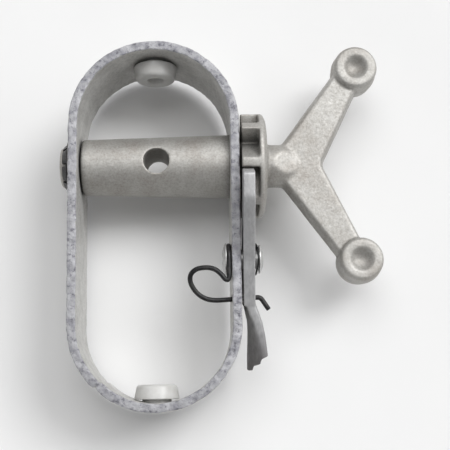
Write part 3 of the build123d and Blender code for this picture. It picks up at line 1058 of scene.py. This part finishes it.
def cast_material():
    """Sand-grained light alloy, with painted shade in its corners and creases and a painted highlight on
    its ridges.
    """
    s = Shader("cast_alloy")
    s.set(Metallic=0.82)
    tone = s.ramp(
        s.noise(9.0, 4.0),
        [(0.3, (0.41, 0.39, 0.365)), (0.5, (0.47, 0.46, 0.44)), (0.72, (0.54, 0.535, 0.515))],
    )
    grain = s.ramp(s.noise(0.6, 5.0, 0.65), [(0.34, (0.74, 0.725, 0.70)), (0.58, (1, 1, 1))])
    skin = s.mix(0.8, tone, grain, "MULTIPLY")
    # painted shade darkening the creases, and a painted highlight on the ridges
    crease_shade_ridge_highlight = s.ramp(
        s.pointiness(),
        [(0.43, (0.5, 0.48, 0.45)), (0.5, (1, 1, 1)), (0.56, (1.05, 1.05, 1.04))],
    )
    shaped = s.mix(0.8, skin, crease_shade_ridge_highlight, "MULTIPLY")
    # painted shade: the colour is darkened where the casting is shut in
    s.colour(s.mix(1.0, shaped, s.painted_shade(4.5, 0.25), "MULTIPLY"))
    s.rough(s.ramp(s.noise(1.0, 4.0), [(0.3, 0.52), (0.7, 0.68)]))
    s.bump((s.noise(0.7, 4.0, 0.6), 0.07), (s.noise(3.0, 3.0), 0.10))
    return s.material


def pawl_material():
    """Plated steel with a fine grain, darker towards the end of the thumb tab, and painted shade where it
    is shut in.
    """
    s = Shader("plated_steel")
    s.set(Metallic=0.6)
    tone = s.ramp(s.noise(6.0, 4.0), [(0.3, (0.37, 0.37, 0.375)), (0.7, (0.48, 0.48, 0.485))])
    grain = s.ramp(s.noise(0.6, 5.0, 0.65, (1, 0.25, 1)), [(0.3, 0.76), (0.6, 1.0)])
    skin = s.mix(0.8, tone, grain, "MULTIPLY")
    along = s.node("ShaderNodeSeparateXYZ")
    s.link(s.place, along.inputs[0])
    reach = s.node("ShaderNodeMapRange")
    s.link(along.outputs["Y"], reach.inputs["Value"])
    reach.inputs["From Min"].default_value = TAB_DARKEN_FULL_Y * MM
    reach.inputs["From Max"].default_value = TAB_DARKEN_START_Y * MM
    # the colour darkens towards the end of the thumb tab
    tab_end_darkening = s.ramp(
        reach.outputs["Result"],
        [(0.0, (0.36, 0.34, 0.34)), (0.45, (0.66, 0.65, 0.65)), (1.0, (1, 1, 1))],
    )
    tab_end_darkened = s.mix(1.0, skin, tab_end_darkening, "MULTIPLY")
    # painted shade: the colour is darkened where the pawl is shut in
    s.colour(s.mix(1.0, tab_end_darkened, s.painted_shade(2.5, 0.55), "MULTIPLY"))
    s.rough(s.ramp(s.noise(1.4, 4.0), [(0.3, 0.40), (0.7, 0.58)]))
    s.bump((s.noise(0.5, 4.0, 0.6, (1, 0.4, 1)), 0.05), (s.noise(2.5, 3.0), 0.06))
    return s.material


def rivet_material():
    """Bright steel, slightly dented."""
    s = Shader("rivet_steel")
    s.set(Metallic=0.85)
    s.colour(s.ramp(s.noise(1.5, 5.0), [(0.3, (0.50, 0.50, 0.50)), (0.7, (0.68, 0.68, 0.67))]))
    s.rough(s.ramp(s.noise(0.8, 4.0), [(0.3, 0.32), (0.7, 0.5)]))
    s.bump((s.noise(0.7, 4.0), 0.06), (s.noise(2.2, 2.0), 0.12))
    return s.material


def black_material(name, scratch):
    """Blackened spring steel with worn patches about scratch millimetres across."""
    s = Shader(name)
    s.set(Metallic=0.3, Specular_IOR_Level=0.5)
    wear_and_crease_shade = s.noise(scratch, 6.0, 0.7)
    s.colour(s.ramp(wear_and_crease_shade, [(0.45, (0.012, 0.012, 0.013)), (0.75, (0.05, 0.048, 0.046))]))
    s.rough(s.ramp(s.noise(0.8, 4.0), [(0.3, 0.3), (0.7, 0.48)]))
    s.bump((s.noise(0.4, 4.0), 0.03))
    return s.material


def guide_material():
    """Pale, slightly translucent moulded plastic."""
    s = Shader("guide_plastic")
    s.set(Metallic=0.0, IOR=1.49, Transmission_Weight=0.12)
    s.set(Subsurface_Weight=0.35, Subsurface_Scale=0.003, Subsurface_Radius=(1, 1, 1))
    s.colour(s.ramp(s.noise(3.0, 3.0), [(0.3, (0.60, 0.595, 0.575)), (0.7, (0.70, 0.70, 0.69))]))
    s.rough(s.ramp(s.noise(1.5, 3.0), [(0.3, 0.28), (0.7, 0.42)]))
    s.bump((s.noise(1.6, 3.0), 0.05))
    return s.material


def floor_material():
    """A plain matt white."""
    s = Shader("pale_table")
    s.set(Specular_IOR_Level=0.2)
    s.colour(s.ramp(s.noise(60.0, 2.0), [(0.3, (0.80, 0.80, 0.80)), (0.7, (0.82, 0.82, 0.82))]))
    s.rough(s.ramp(s.noise(40.0, 2.0), [(0.3, 0.7), (0.7, 0.8)]))
    return s.material


# ---------------------------------------------------------------- put it together
def finish_piece(piece, body, node, slot, *materials):
    """Gives a piece its materials, puts it in its CAD node's place, and lets it ride a body; slot is not
    used.
    """
    piece.data.materials.clear()
    for material in materials:
        piece.data.materials.append(material)
    for face in piece.data.polygons:
        face.material_index = 0
    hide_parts(node)
    if body:
        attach(piece, body)
    return piece


def mark_cut_edges(bar):
    """Gives the bar's two sheared edge faces their own, rougher material."""
    for face in bar.data.polygons:
        if abs(face.normal.z) > 0.6 and abs(abs(face.center.z) / MM - BAR_HALF) < 1.0:
            face.material_index = 1


black_wire = black_material("black_wire", 2.0)
black_washer = black_material("black_washer", 1.0)
plastic = guide_material()
bar = finish_piece(
    build_bar(), "frame", "strap_frame", "galvanised_bar", galvanised_material(), cut_edge_material()
)
mark_cut_edges(bar)
for name, node in (("top_guide", "top_grommet"), ("bottom_guide", "bottom_grommet")):
    finish_piece(build_guide(name, node), "frame", node, "grommet_plastic", plastic)
finish_piece(build_rivet(), "frame", "pawl_rivet", "rivet_steel", rivet_material())
finish_piece(build_wave(), "frame", "wave_washer", "black_spring_steel", black_washer)
finish_piece(build_spindle(), "spindle", "winch_spindle", "cast_alloy", cast_material())
finish_piece(build_star(), "spindle", "star_lock_washer", "black_spring_steel", black_washer)
finish_piece(build_pawl(), "pawl_lever", "pawl", "plated_steel", pawl_material())
spring = finish_piece(build_spring(), None, "pawl_spring", "black_spring_steel", black_wire)
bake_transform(spring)


# ---------------------------------------------------------------- table, light and camera
FLOOR_R = 1100
WALL_R = 1900
WALL_HIGH = 620
WALL_STEPS = 8
FLOOR_SIDES = 72
FLOOR_GAP = 0.05


def build_floor():
    """A plain pale table under the lowest point, which curves up into a backdrop far away."""
    ground, sides = CAST_LOW.z - FLOOR_GAP, FLOOR_SIDES
    rings = [(FLOOR_R, ground)]
    for step in range(1, WALL_STEPS + 1):
        turn = math.pi / 2 * step / WALL_STEPS
        radius = FLOOR_R + (WALL_R - FLOOR_R) * math.sin(turn)
        rings.append((radius, ground + WALL_HIGH * (1 - math.cos(turn))))
    points, faces = [], [tuple(range(sides))]
    for radius, height in rings:
        for k in range(sides):
            angle = 2 * math.pi * k / sides
            points.append((radius * math.cos(angle), radius * math.sin(angle), height))
    for r in range(len(rings) - 1):
        for k in range(sides):
            a, b = r * sides + k, r * sides + (k + 1) % sides
            faces.append((a, b, b + sides, a + sides))
    floor = mesh_from("table", points, faces)
    floor.data.materials.append(floor_material())
    shade(floor, 60)


WORLD_STRENGTH = 0.27
SUNS = (
    # name, direction towards it, softness in degrees, strength
    ("key", (0.75, 0.62, 1.0), 30, 1.9),
    ("top", (-0.1, 0.5, 1.0), 45, 1.15),
    ("side", (1.0, 0.05, 0.4), 40, 0.7),
)


def sun_light(name, towards, softness, strength):
    """A far light whose softness is its apparent width in degrees."""
    lamp = bpy.data.lights.new(name, "SUN")
    lamp.angle = math.radians(softness)
    lamp.energy = strength
    light = bpy.data.objects.new(name, lamp)
    light.rotation_euler = (-Vector(towards)).to_track_quat("-Z", "Y").to_euler()
    bpy.context.scene.collection.objects.link(light)


def build_studio():
    """An even white surround and three soft lights."""
    world = bpy.data.worlds.new("studio")
    bpy.context.scene.world = world
    world.use_nodes = True
    world.node_tree.nodes["Background"].inputs["Color"].default_value = (1, 1, 1, 1)
    world.node_tree.nodes["Background"].inputs["Strength"].default_value = WORLD_STRENGTH
    for sun in SUNS:
        sun_light(*sun)


CAMERA_AT = (13.6, -70.7, 266.1)
CAMERA_TURN_DEG = (7.14, -0.86, -0.76)
CAMERA_LENS = 68.5
CAMERA_SHIFT = (0.02, 0.13)


def build_camera():
    """Almost straight above the object, with the picture's top towards +Y."""
    data = bpy.data.cameras.new("camera")
    data.lens = CAMERA_LENS
    data.sensor_width = 36.0
    data.clip_start = 0.01
    data.shift_x, data.shift_y = CAMERA_SHIFT
    camera = bpy.data.objects.new("camera", data)
    camera.location = Vector(CAMERA_AT) * MM
    camera.rotation_euler = [math.radians(turn) for turn in CAMERA_TURN_DEG]
    bpy.context.scene.collection.objects.link(camera)
    bpy.context.scene.camera = camera


build_floor()
build_studio()
build_camera()
bpy.context.scene.view_settings.view_transform = "Standard"
